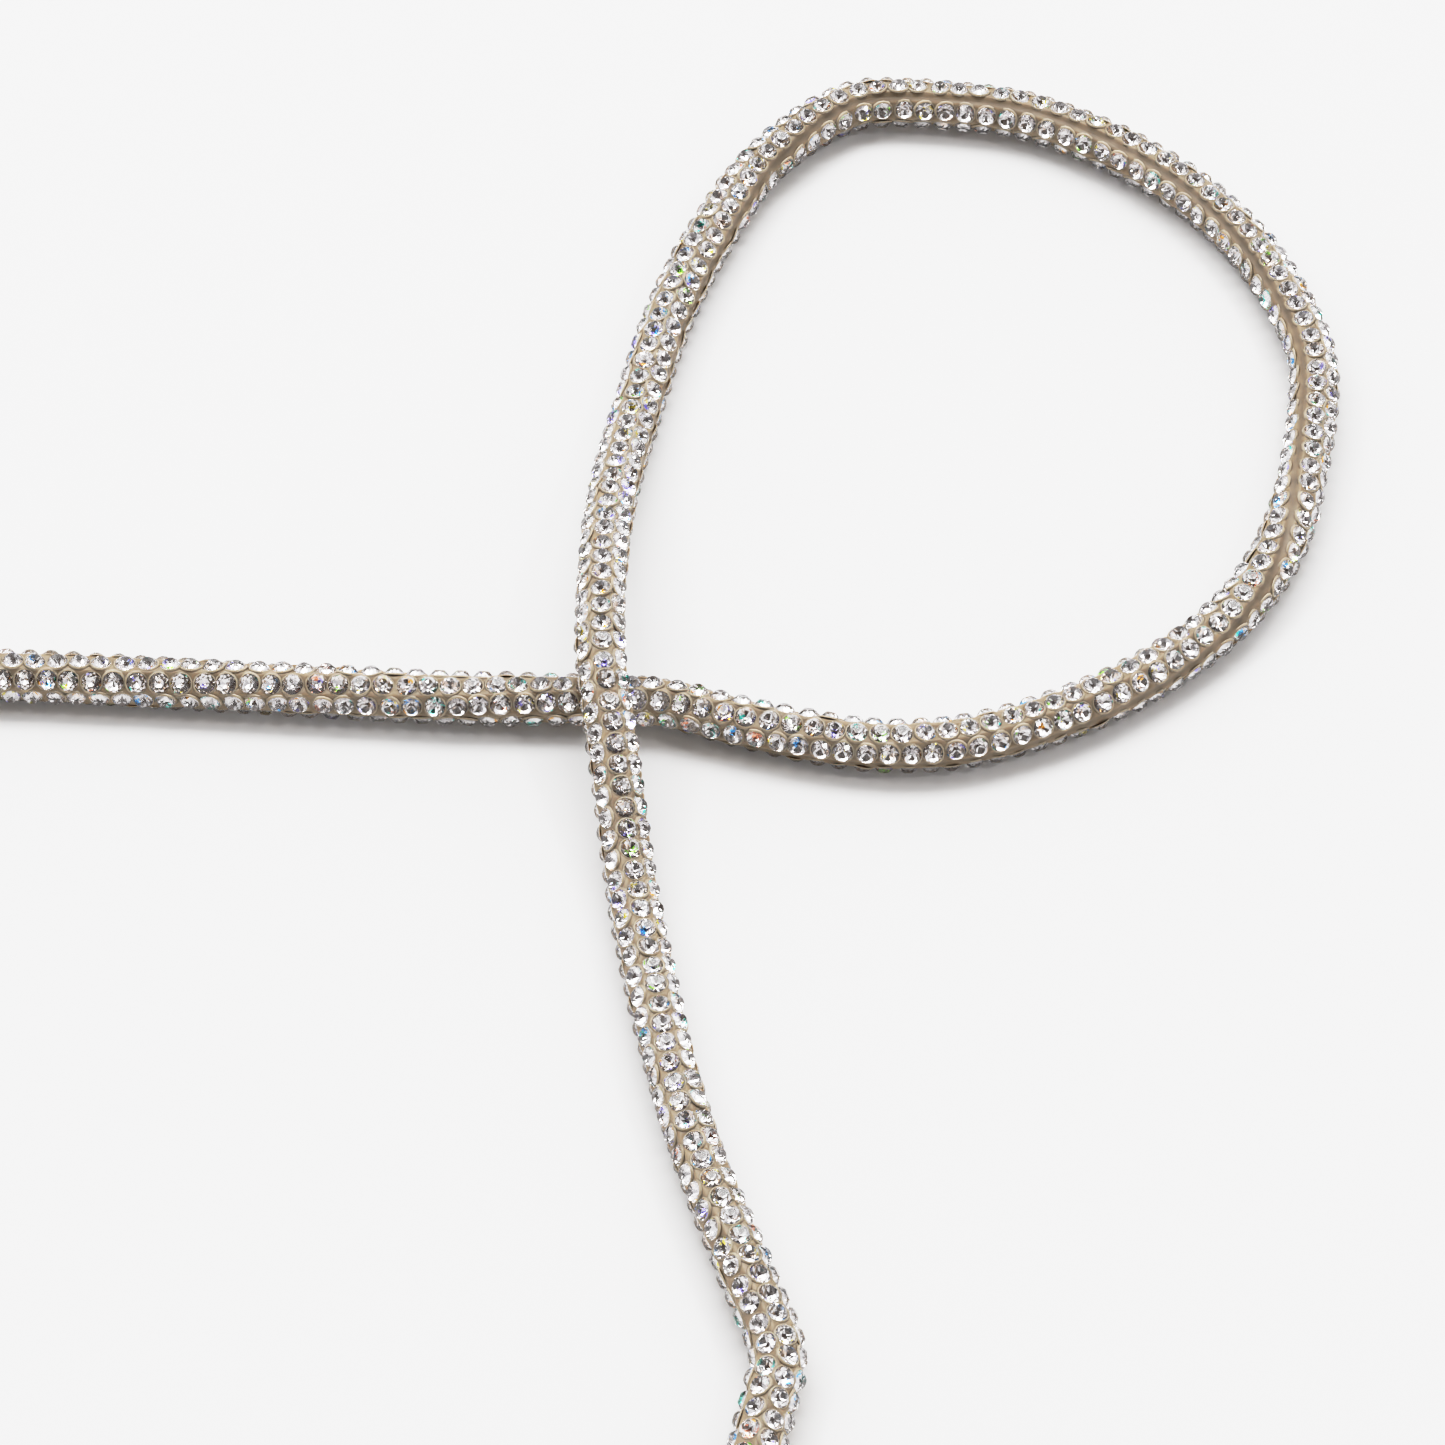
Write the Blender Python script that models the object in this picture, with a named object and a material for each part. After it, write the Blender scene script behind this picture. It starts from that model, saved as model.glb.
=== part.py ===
"""Rhinestone cord: a cut length of round trimming cord, lying in one open loop that crosses over itself.

The cord is a soft band set with lengthwise rows of small round stones and rolled into a tube, so that
its section has a raised ridge under each row, a groove between the rows and one wider bare seam. The
solid is that section swept along the route, turning slowly as the real cord twists, with a long low
hump where the cord passes over itself and a narrow flat strip where it lies on the surface.
"""

import math

import bmesh
import bpy
from mathutils import Vector

# Section of the cord, in metres
RIDGE_RADIUS = 0.00274
GROOVE_RADIUS = 0.00230
SEAM_RADIUS = 0.00216
AXIS_HEIGHT = 0.00270
FLAT_STRIP_DEPTH = 0.00055

# Section of the cord, in degrees round its axis
ROW_ANGLES = (41.0, 99.0, 156.0, 214.0, 271.0, 321.0)
RIDGE_HALF_WIDTH = 12.0
SEAM_EDGE = 14.0

# Steps of the sweep
RING_SPACING = 0.00238
CURVE_STEPS_PER_SPAN = 24

# Hump over the lower run, in metres. Its crest comes a little before the crossing
HUMP_HEIGHT = 0.0061
HUMP_LEAD = 0.004
HUMP_RISE_LENGTH = 0.038
HUMP_FALL_LENGTH = 0.030

# Route of the axis on the surface, from the first cut end to the last. Columns: x, y
ROUTE = (
    (-0.0854, 0.0170),
    (-0.0683, 0.0163),
    (-0.0520, 0.0160),
    (-0.0339, 0.0150),
    (-0.0228, 0.0143),
    (-0.0063, 0.0132),
    (0.0049, 0.0129),
    (0.0144, 0.0125),
    (0.0222, 0.0102),
    (0.0314, 0.0079),
    (0.0390, 0.0072),
    (0.0467, 0.0082),
    (0.0566, 0.0120),
    (0.0654, 0.0174),
    (0.0730, 0.0246),
    (0.0780, 0.0329),
    (0.0810, 0.0429),
    (0.0827, 0.0525),
    (0.0826, 0.0603),
    (0.0788, 0.0711),
    (0.0735, 0.0794),
    (0.0666, 0.0861),
    (0.0591, 0.0910),
    (0.0511, 0.0941),
    (0.0381, 0.0954),
    (0.0322, 0.0932),
    (0.0272, 0.0886),
    (0.0231, 0.0831),
    (0.0170, 0.0699),
    (0.0131, 0.0568),
    (0.0094, 0.0367),
    (0.0086, 0.0159),
    (0.0102, 0.0025),
    (0.0131, -0.0174),
    (0.0174, -0.0371),
    (0.0229, -0.0536),
    (0.0257, -0.0621),
    (0.0249, -0.0674),
    (0.0221, -0.0794),
    (0.0179, -0.0971),
)

# Turn of the seam along the cord. Columns: distance from the first end in metres, degrees from
# straight up towards the left of the cord's run
SEAM_TURNS = (
    (0.000, -221.0),
    (0.043, -199.0),
    (0.055, -190.0),
    (0.070, -172.0),
    (0.079, -162.0),
    (0.088, -146.0),
    (0.106, -121.0),
    (0.116, -106.0),
    (0.130, -98.0),
    (0.140, -93.0),
    (0.152, -77.0),
    (0.161, -61.0),
    (0.169, -32.0),
    (0.178, 2.0),
    (0.186, 30.0),
    (0.195, 36.0),
    (0.205, 43.0),
    (0.219, 38.0),
    (0.235, 25.0),
    (0.250, 22.0),
    (0.267, 28.0),
    (0.279, 54.0),
    (0.287, 61.0),
    (0.297, 73.0),
    (0.310, 75.0),
    (0.325, 83.0),
    (0.345, 87.0),
    (0.355, 94.0),
    (0.370, 91.0),
    (0.382, 98.0),
    (0.394, 98.0),
    (0.404, 70.0),
    (0.412, 77.0),
    (0.424, 104.0),
    (0.434, 118.0),
    (0.470, 126.0),
)
TURN_SOFTENING = 0.006

# Colour, roughness and metallic value of the cord seen from a step away
CORD_COLOUR = (0.56, 0.53, 0.49, 1.0)
CORD_ROUGHNESS = 0.3
CORD_METALLIC = 0.0


def catmull_rom(before, start, end, after, share):
    """Point on the smooth curve between start and end, at this share of the way."""
    square = share * share
    cube = square * share
    return 0.5 * (
        2 * start
        + (end - before) * share
        + (2 * before - 5 * start + 4 * end - after) * square
        + (3 * start - before - 3 * end + after) * cube
    )


def smooth_route():
    """Closely spaced points on the smooth curve through the route's own points."""
    marks = [Vector((x, y, 0.0)) for x, y in ROUTE]
    marks = [2 * marks[0] - marks[1], *marks, 2 * marks[-1] - marks[-2]]
    points = []
    for index in range(1, len(marks) - 2):
        for step in range(CURVE_STEPS_PER_SPAN):
            share = step / CURVE_STEPS_PER_SPAN
            points.append(catmull_rom(*marks[index - 1 : index + 3], share))
    points.append(marks[-2])
    return points


def distances_along(points):
    """Distance of each point from the first one, measured along the points."""
    distances = [0.0]
    for before, after in zip(points, points[1:]):
        distances.append(distances[-1] + (after - before).length)
    return distances


def read_table(table, where):
    """Value of a two-column table at this distance, on straight lines between its rows."""
    if where <= table[0][0]:
        return table[0][1]
    for (low, low_value), (high, high_value) in zip(table, table[1:]):
        if where <= high:
            share = (where - low) / (high - low)
            return low_value + (high_value - low_value) * share
    return table[-1][1]


def seam_turn(where):
    """Angle of the seam at this distance, softened where its rate of turn changes."""
    nearby = (where + TURN_SOFTENING * step / 2 for step in (-2, -1, 0, 1, 2))
    return sum(read_table(SEAM_TURNS, place) for place in nearby) / 5


def crossing_distance(points, distances):
    """Distance along the cord at which its later run passes over its earlier one."""
    closest = None
    half = len(points) // 2
    for late in range(half, len(points)):
        for early in range(half):
            gap = (points[late] - points[early]).length
            if closest is None or gap < closest[0]:
                closest = (gap, distances[late])
    return closest[1]


def hump(offset):
    """Lift of the axis at this distance past the crest."""
    reach = HUMP_RISE_LENGTH if offset < 0 else HUMP_FALL_LENGTH
    if abs(offset) >= reach:
        return 0.0
    return HUMP_HEIGHT * math.cos(0.5 * math.pi * offset / reach) ** 2


def axis_points():
    """Evenly spaced points on the cord's axis, lifted over the crossing, and their distances."""
    dense = smooth_route()
    distances = distances_along(dense)
    crossing = crossing_distance(dense, distances)
    count = round(distances[-1] / RING_SPACING)
    axis = []
    places = []
    index = 0
    for ring in range(count + 1):
        where = distances[-1] * ring / count
        while index < len(distances) - 2 and distances[index + 1] < where:
            index += 1
        share = (where - distances[index]) / (distances[index + 1] - distances[index])
        point = dense[index].lerp(dense[index + 1], share)
        point.z = AXIS_HEIGHT + hump(where - crossing + HUMP_LEAD)
        axis.append(point)
        places.append(where)
    return axis, places


def section():
    """Angle in degrees from the seam and radius of each point round the cord."""
    points = [(0.0, SEAM_RADIUS), (SEAM_EDGE, GROOVE_RADIUS)]
    for index, angle in enumerate(ROW_ANGLES):
        if index:
            points.append((0.5 * (ROW_ANGLES[index - 1] + angle), GROOVE_RADIUS))
        points.append((angle - RIDGE_HALF_WIDTH, RIDGE_RADIUS))
        points.append((angle + RIDGE_HALF_WIDTH, RIDGE_RADIUS))
    points.append((360.0 - SEAM_EDGE, GROOVE_RADIUS))
    return points


def ring_points(centre, along, seam_angle):
    """The section's points at one place, square to the axis and flat where they meet the surface."""
    left = Vector((-along.y, along.x, 0.0)).normalized()
    above = along.cross(left)
    points = []
    for angle, radius in section():
        turn = math.radians(seam_angle + angle)
        point = centre + radius * (math.cos(turn) * above + math.sin(turn) * left)
        if point.z < FLAT_STRIP_DEPTH:
            point.z = 0.0
        points.append(point)
    return points


def cord_mesh(name):
    """Closed mesh of the cord: rings bridged along the axis, with a flat cap on each cut end."""
    axis, places = axis_points()
    builder = bmesh.new()
    rings = []
    for index, centre in enumerate(axis):
        before = axis[max(index - 1, 0)]
        after = axis[min(index + 1, len(axis) - 1)]
        along = (after - before).normalized()
        seam_angle = seam_turn(places[index])
        rings.append([builder.verts.new(p) for p in ring_points(centre, along, seam_angle)])
    for ring, following in zip(rings, rings[1:]):
        for index in range(len(ring)):
            beside = (index + 1) % len(ring)
            builder.faces.new((ring[index], ring[beside], following[beside], following[index]))
    builder.faces.new(rings[0])
    builder.faces.new(reversed(rings[-1]))
    bmesh.ops.recalc_face_normals(builder, faces=builder.faces)
    bmesh.ops.triangulate(builder, faces=builder.faces)
    mesh = bpy.data.meshes.new(name)
    builder.to_mesh(mesh)
    builder.free()
    return mesh


def cord_material():
    """Clear stones in a pale taupe band, as one plain finish."""
    material = bpy.data.materials.new("cord")
    material.use_nodes = True
    shader = material.node_tree.nodes["Principled BSDF"]
    shader.inputs["Base Color"].default_value = CORD_COLOUR
    shader.inputs["Roughness"].default_value = CORD_ROUGHNESS
    shader.inputs["Metallic"].default_value = CORD_METALLIC
    return material


def clear_scene():
    for obj in list(bpy.data.objects):
        bpy.data.objects.remove(obj, do_unlink=True)


def main():
    clear_scene()
    mesh = cord_mesh("cord")
    mesh.materials.append(cord_material())
    cord = bpy.data.objects.new("cord", mesh)
    bpy.context.scene.collection.objects.link(cord)


main()
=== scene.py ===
import math

import bmesh
import bpy
import numpy as np
from bpy.props import FloatProperty, FloatVectorProperty, IntProperty, PointerProperty
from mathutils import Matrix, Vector
from mathutils.kdtree import KDTree


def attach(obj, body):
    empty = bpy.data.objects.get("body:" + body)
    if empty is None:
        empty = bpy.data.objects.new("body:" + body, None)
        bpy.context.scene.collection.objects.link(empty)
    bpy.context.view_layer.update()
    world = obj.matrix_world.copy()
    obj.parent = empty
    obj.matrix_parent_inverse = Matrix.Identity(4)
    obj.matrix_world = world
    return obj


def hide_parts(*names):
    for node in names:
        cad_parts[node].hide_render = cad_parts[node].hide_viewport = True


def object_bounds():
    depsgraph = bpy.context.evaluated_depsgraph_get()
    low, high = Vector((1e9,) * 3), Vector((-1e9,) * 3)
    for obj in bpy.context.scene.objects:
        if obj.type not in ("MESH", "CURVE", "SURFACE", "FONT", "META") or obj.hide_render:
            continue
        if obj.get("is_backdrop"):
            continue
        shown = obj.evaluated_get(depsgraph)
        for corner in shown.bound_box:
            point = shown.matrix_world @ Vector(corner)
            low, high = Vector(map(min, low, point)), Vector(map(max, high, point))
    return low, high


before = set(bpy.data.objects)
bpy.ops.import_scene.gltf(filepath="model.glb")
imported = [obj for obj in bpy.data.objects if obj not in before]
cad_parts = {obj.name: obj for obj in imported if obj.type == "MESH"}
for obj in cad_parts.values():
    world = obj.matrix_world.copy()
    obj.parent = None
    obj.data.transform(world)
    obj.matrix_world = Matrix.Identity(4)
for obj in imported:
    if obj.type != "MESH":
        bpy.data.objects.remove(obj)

bl_info = {
    "name": "Rhinestone cord",
    "version": (1, 0, 0),
    "blender": (4, 5, 0),
    "location": "3D View > Sidebar > Rhinestone cord",
    "description": "Builds a rhinestone cord from its band, its stones and their rims",
    "category": "Object",
}

# The model's own box, before anything is added
CAD_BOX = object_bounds()

BODY = "root"
CORD_NODE = "cord"

# Route of the axis on the surface, in metres, from the first cut end to the last. Columns: x, y
ROUTE = (
    (-0.0854, 0.0170),
    (-0.0683, 0.0163),
    (-0.0520, 0.0160),
    (-0.0339, 0.0150),
    (-0.0228, 0.0143),
    (-0.0063, 0.0132),
    (0.0049, 0.0129),
    (0.0144, 0.0125),
    (0.0222, 0.0102),
    (0.0314, 0.0079),
    (0.0390, 0.0072),
    (0.0467, 0.0082),
    (0.0566, 0.0120),
    (0.0654, 0.0174),
    (0.0730, 0.0246),
    (0.0780, 0.0329),
    (0.0810, 0.0429),
    (0.0827, 0.0525),
    (0.0826, 0.0603),
    (0.0788, 0.0711),
    (0.0735, 0.0794),
    (0.0666, 0.0861),
    (0.0591, 0.0910),
    (0.0511, 0.0941),
    (0.0381, 0.0954),
    (0.0322, 0.0932),
    (0.0272, 0.0886),
    (0.0231, 0.0831),
    (0.0170, 0.0699),
    (0.0131, 0.0568),
    (0.0094, 0.0367),
    (0.0086, 0.0159),
    (0.0102, 0.0025),
    (0.0131, -0.0174),
    (0.0174, -0.0371),
    (0.0229, -0.0536),
    (0.0257, -0.0621),
    (0.0249, -0.0674),
    (0.0221, -0.0794),
    (0.0179, -0.0971),
)
AXIS_HEIGHT = 0.00270
CURVE_STEPS_PER_SPAN = 24

# Hump over the lower run, in metres. Its crest comes a little before the crossing
HUMP_HEIGHT = 0.0061
HUMP_LEAD = 0.004
HUMP_RISE_LENGTH = 0.038
HUMP_FALL_LENGTH = 0.030

# Turn of the seam along the cord. Columns: distance from the first end in metres, degrees from
# straight up towards the left of the cord's run
SEAM_TURNS = (
    (0.000, -221.0),
    (0.043, -199.0),
    (0.055, -190.0),
    (0.070, -172.0),
    (0.079, -162.0),
    (0.088, -146.0),
    (0.106, -121.0),
    (0.116, -106.0),
    (0.130, -98.0),
    (0.140, -93.0),
    (0.152, -77.0),
    (0.161, -61.0),
    (0.169, -32.0),
    (0.178, 2.0),
    (0.186, 30.0),
    (0.195, 36.0),
    (0.205, 43.0),
    (0.219, 38.0),
    (0.235, 25.0),
    (0.250, 22.0),
    (0.267, 28.0),
    (0.279, 54.0),
    (0.287, 61.0),
    (0.297, 73.0),
    (0.310, 75.0),
    (0.325, 83.0),
    (0.345, 87.0),
    (0.355, 94.0),
    (0.370, 91.0),
    (0.382, 98.0),
    (0.394, 98.0),
    (0.404, 70.0),
    (0.412, 77.0),
    (0.424, 104.0),
    (0.434, 118.0),
    (0.470, 126.0),
)
# How far either way along the cord the turn is softened, in metres
TURN_SOFTENING = 0.006

# Rows of stones. Columns: degrees round the axis from the seam, share of a pitch by which the
# row's first stone is set back
ROWS = (
    (41.0, 0.10),
    (99.0, 0.62),
    (156.0, 0.28),
    (214.0, 0.85),
    (271.0, 0.40),
    (321.0, 0.95),
)
# Degrees by which the middle of the seam stands off the zero of the rows' angles
SEAM_SHIFT = 1.0
# Slow wander of a row round the cord: degrees either way, length of a wave in metres, and radians
# from one row's wave to the next row's
ROW_WANDER_DEGREES = 1.2
ROW_WANDER_LENGTH = 0.047
ROW_WANDER_STEP = 2.1


class CordSizes(bpy.types.PropertyGroup):
    """Sizes of the cord's pieces."""

    stone_radius: FloatProperty(
        name="Stone radius",
        description="Radius of a stone at its widest",
        default=0.00104,
        unit="LENGTH",
    )
    stone_height: FloatProperty(
        name="Stone height",
        description="Height of a stone's flat top above its seat",
        default=0.00063,
        unit="LENGTH",
    )
    stone_depth: FloatProperty(
        name="Stone depth",
        description="Depth of a stone's mirrored point below its seat",
        default=0.00061,
        unit="LENGTH",
    )
    stone_seat: FloatProperty(
        name="Stone seat",
        description="Distance of the edge that a stone sits on from the cord's axis",
        default=0.00212,
        unit="LENGTH",
    )
    pitch: FloatProperty(
        name="Pitch",
        description="Distance from one stone to the next along a row",
        default=0.00225,
        unit="LENGTH",
    )
    place_jitter: FloatProperty(
        name="Uneven placing",
        description="Most that a stone stands off its even place",
        default=0.00012,
        unit="LENGTH",
    )
    tilt_jitter: FloatProperty(
        name="Uneven tilt",
        description="Most that a stone leans out of its seat",
        default=math.radians(9.0),
        subtype="ANGLE",
    )
    size_jitter: FloatProperty(
        name="Uneven size",
        description="Share by which stones differ in size",
        default=0.035,
        subtype="FACTOR",
    )
    rim_width: FloatProperty(
        name="Rim width",
        description="Width of the raised rim of band round a stone",
        default=0.00007,
        unit="LENGTH",
    )
    flat_radius: FloatProperty(
        name="Band under the stones",
        description="Distance of the band's flats, which carry the stones, from the cord's axis",
        default=0.00212,
        unit="LENGTH",
    )
    edge_radius: FloatProperty(
        name="Band between the rows",
        description="Distance of the band's rounded edges between two rows from the cord's axis",
        default=0.00236,
        unit="LENGTH",
    )
    seam_radius: FloatProperty(
        name="Seam",
        description="Distance of the bare seam from the cord's axis",
        default=0.00214,
        unit="LENGTH",
    )
    seed: IntProperty(
        name="Seed",
        description="Seed of the uneven placing, tilt and size",
        default=7,
    )


class CordColours(bpy.types.PropertyGroup):
    """Colours of the cord's pieces and of the stage."""

    band: FloatVectorProperty(
        name="Band",
        description="Colour of the bare band",
        default=(0.300, 0.228, 0.152),
        subtype="COLOR",
    )
    # Paler than the band: partly the thin band's own tone, partly painted highlight on the lip
    rim: FloatVectorProperty(
        name="Rim",
        description="Colour of the thin band round each stone",
        default=(0.450, 0.352, 0.255),
        subtype="COLOR",
    )
    foil: FloatVectorProperty(
        name="Foil",
        description="Colour of the mirrored backs",
        default=(0.88, 0.87, 0.87),
        subtype="COLOR",
    )
    glass: FloatVectorProperty(
        name="Stone",
        description="Colour of the clear stones",
        default=(0.98, 0.98, 0.99),
        subtype="COLOR",
    )
    floor: FloatVectorProperty(
        name="Floor",
        description="Colour of the surface",
        default=(0.90, 0.90, 0.90),
        subtype="COLOR",
    )


class CordSettings(bpy.types.PropertyGroup):
    """Everything that a user may change."""

    sizes: PointerProperty(type=CordSizes)
    colours: PointerProperty(type=CordColours)


# The cord's line


def catmull_rom(before, start, end, after, share):
    """Point on the smooth curve between start and end, at this share of the way."""
    square = share * share
    cube = square * share
    return 0.5 * (
        2 * start
        + (end - before) * share
        + (2 * before - 5 * start + 4 * end - after) * square
        + (3 * start - before - 3 * end + after) * cube
    )


def smooth_route():
    """Closely spaced points on the smooth curve through the route's own points."""
    marks = [np.array((x, y, 0.0)) for x, y in ROUTE]
    marks = [2 * marks[0] - marks[1], *marks, 2 * marks[-1] - marks[-2]]
    points = []
    for index in range(1, len(marks) - 2):
        for step in range(CURVE_STEPS_PER_SPAN):
            share = step / CURVE_STEPS_PER_SPAN
            points.append(catmull_rom(*marks[index - 1 : index + 3], share))
    points.append(marks[-2])
    return np.array(points)


def crossing_distance(points, distances):
    """Distance along the cord at which its later run passes over its earlier one."""
    half = len(points) // 2
    gaps = np.linalg.norm(points[half:, None] - points[None, :half], axis=2)
    late = np.unravel_index(gaps.argmin(), gaps.shape)[0]
    return distances[half + late]


def hump(offset):
    """Lift of the axis at these distances past the crest."""
    reach = np.where(offset < 0, HUMP_RISE_LENGTH, HUMP_FALL_LENGTH)
    near = np.abs(offset) < reach
    return np.where(near, HUMP_HEIGHT * np.cos(0.5 * math.pi * offset / reach) ** 2, 0.0)


def seam_turn(where):
    """Angle of the seam at these distances, in radians, softened where its rate of turn changes."""
    places, angles = zip(*SEAM_TURNS)
    nearby = [where + TURN_SOFTENING * step / 2 for step in (-2, -1, 0, 1, 2)]
    return np.radians(sum(np.interp(place, places, angles) for place in nearby) / 5)


class CordLine:
    """Places along the cord's axis with their directions, from one cut end to the other."""

    def __init__(self, spacing):
        dense = smooth_route()
        steps = np.linalg.norm(np.diff(dense, axis=0), axis=1)
        distances = np.concatenate([[0.0], np.cumsum(steps)])
        crossing = crossing_distance(dense, distances)
        count = round(distances[-1] / spacing)
        self.where = np.linspace(0.0, distances[-1], count + 1)
        self.centre = np.stack([np.interp(self.where, distances, axis) for axis in dense.T], 1)
        self.centre[:, 2] = AXIS_HEIGHT + hump(self.where - crossing + HUMP_LEAD)
        self.along = unit(np.gradient(self.centre, axis=0))
        flat = np.zeros(len(self.along))
        self.left = unit(np.stack([-self.along[:, 1], self.along[:, 0], flat], 1))
        self.above = np.cross(self.along, self.left)
        self.turn = seam_turn(self.where)
        self.length = float(np.linalg.norm(np.diff(self.centre, axis=0), axis=1).sum())

    def outward(self, angle):
        """Directions away from the axis at this angle from the seam, in radians."""
        turn = (self.turn + angle)[:, None]
        return np.cos(turn) * self.above + np.sin(turn) * self.left


def unit(vectors):
    """The vectors, each scaled to a length of one."""
    return vectors / np.linalg.norm(vectors, axis=-1, keepdims=True)


# Materials


class Nodes:
    """Short calls for building a node tree."""

    def __init__(self, tree):
        self.tree = tree

    def add(self, kind, **values):
        """New node. Values name its properties, and values that start with in_ its sockets."""
        node = self.tree.nodes.new(kind)
        for name, value in values.items():
            if name.startswith("in_"):
                node.inputs[name[3:].replace("_", " ")].default_value = value
            else:
                setattr(node, name, value)
        return node

    def map_range(self, old, new, **values):
        """Map Range node. Old and new are its two ranges, each from low to high."""
        node = self.add("ShaderNodeMapRange", **values)
        for socket, value in zip(("From Min", "From Max", "To Min", "To Max"), (*old, *new)):
            node.inputs[socket].default_value = value
        return node

    def link(self, source, target):
        """Link one node's output to another's input."""
        self.tree.links.new(source, target)

    def give(self, socket, value):
        """Give a socket a plain value, or the output of another node."""
        if isinstance(value, bpy.types.NodeSocket):
            self.link(value, socket)
        else:
            socket.default_value = value


def new_material(name, **shader_values):
    """Material with one Principled BSDF. Returns it, its nodes and the shader."""
    material = bpy.data.materials.new(name)
    material.use_nodes = True
    nodes = Nodes(material.node_tree)
    shader = material.node_tree.nodes["Principled BSDF"]
    for socket, value in shader_values.items():
        shader.inputs[socket.replace("_", " ")].default_value = value
    return material, nodes, shader


def clouded(nodes, colour, noise, clouds):
    """The colour, as it drifts between two of its tones with the noise."""
    place = nodes.add("ShaderNodeTexCoord")
    ramp = nodes.add("ShaderNodeValToRGB")
    for element, (position, share) in zip(ramp.color_ramp.elements, clouds):
        element.position = position
        element.color = (*(min(1.0, share * part) for part in colour), 1.0)
    nodes.link(place.outputs["Object"], noise.inputs["Vector"])
    nodes.link(noise.outputs["Fac"], ramp.inputs["Fac"])
    return ramp.outputs["Color"]


# Clouds in a colour, from dark to pale. Columns: value of the noise, share of the colour
BAND_CLOUDS = ((0.30, 0.78), (0.70, 1.22))
RIM_CLOUDS = ((0.35, 0.82), (0.68, 1.15))
FLOOR_CLOUDS = ((0.0, 0.99), (1.0, 1.01))
# Share of the band's colour that is left in the middle of the seam: painted shade of the groove where
# the edges roll in
SEAM_PAINTED_SHADE = 0.70
# Sockets of a Mix node that mixes colours
MIX_FACTOR, MIX_FIRST, MIX_SECOND = 0, 6, 7
MIX_RESULT = 2


def band_material(colour):
    """Soft translucent band: faint clouds, lengthwise wrinkles, a satin skin and painted shade along the
    seam's groove.
    """
    material, nodes, shader = new_material(
        "band_taupe",
        Roughness=0.38,
        IOR=1.45,
        Subsurface_Weight=0.45,
        Subsurface_Radius=(1.0, 0.62, 0.34),
        Subsurface_Scale=0.0011,
    )
    run = nodes.add("ShaderNodeUVMap", uv_map="run")
    stretch = nodes.add("ShaderNodeMapping", in_Scale=(2.4, 0.22, 1.0))
    wrinkles = nodes.add("ShaderNodeTexNoise", in_Scale=1.0, in_Detail=4.0, in_Roughness=0.6)
    noise = nodes.add("ShaderNodeTexNoise", in_Scale=420.0, in_Detail=3.0, in_Roughness=0.55)
    # The seam's mask darkens the band's colour: painted shade of the groove
    seam = nodes.add("ShaderNodeAttribute", attribute_name="seam")
    seam_painted_shade = nodes.map_range((0.0, 1.0), (1.0, SEAM_PAINTED_SHADE))
    toned = nodes.add("ShaderNodeVectorMath", operation="SCALE")
    bump = nodes.add("ShaderNodeBump", in_Strength=0.55, in_Distance=0.00008)
    nodes.link(run.outputs["UV"], stretch.inputs["Vector"])
    nodes.link(stretch.outputs["Vector"], wrinkles.inputs["Vector"])
    nodes.link(seam.outputs["Fac"], seam_painted_shade.inputs["Value"])
    nodes.link(clouded(nodes, colour, noise, BAND_CLOUDS), toned.inputs[0])
    nodes.link(seam_painted_shade.outputs["Result"], toned.inputs["Scale"])
    nodes.link(toned.outputs[0], shader.inputs["Base Color"])
    nodes.link(wrinkles.outputs["Fac"], bump.inputs["Height"])
    nodes.link(bump.outputs["Normal"], shader.inputs["Normal"])
    return material


def rim_material(colour):
    """The band where it is drawn up thin round a stone: glossier, and paler and warmer, partly its own
    thin tone and partly painted highlight on the lip.
    """
    material, nodes, shader = new_material(
        "rim_peach",
        Roughness=0.22,
        IOR=1.45,
        Subsurface_Weight=0.6,
        Subsurface_Radius=(1.0, 0.7, 0.5),
        Subsurface_Scale=0.0008,
    )
    noise = nodes.add("ShaderNodeTexNoise", in_Scale=700.0, in_Detail=2.0)
    # Pale clouded colour: partly painted highlight on the lip
    nodes.link(clouded(nodes, colour, noise, RIM_CLOUDS), shader.inputs["Base Color"])
    return material


def glass_material(colour):
    """Clear top of a stone."""
    material, _, _ = new_material(
        "stone_clear",
        Base_Color=(*colour, 1.0),
        Roughness=0.015,
        IOR=1.56,
        Transmission_Weight=1.0,
    )
    return material


# Tints of the foil: silver, a warm silver, and the few facets that flash in one colour of the rainbow,
# which are painted sparkle standing in for the glass's rainbow fire.
# Columns: share of the spots at which the tint starts, colour
FOIL_TINTS_AND_PAINTED_SPARKLE = (
    (0.000, (0.90, 0.89, 0.89)),
    (0.900, (0.95, 0.80, 0.69)),
    (0.945, (0.42, 0.38, 1.00)),
    (0.955, (0.12, 0.48, 1.00)),
    (0.966, (0.12, 0.90, 0.78)),
    (0.974, (0.45, 0.95, 0.15)),
    (0.980, (1.00, 0.86, 0.16)),
    (0.988, (1.00, 0.50, 0.09)),
    (0.996, (1.00, 0.42, 0.26)),
)


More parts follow.
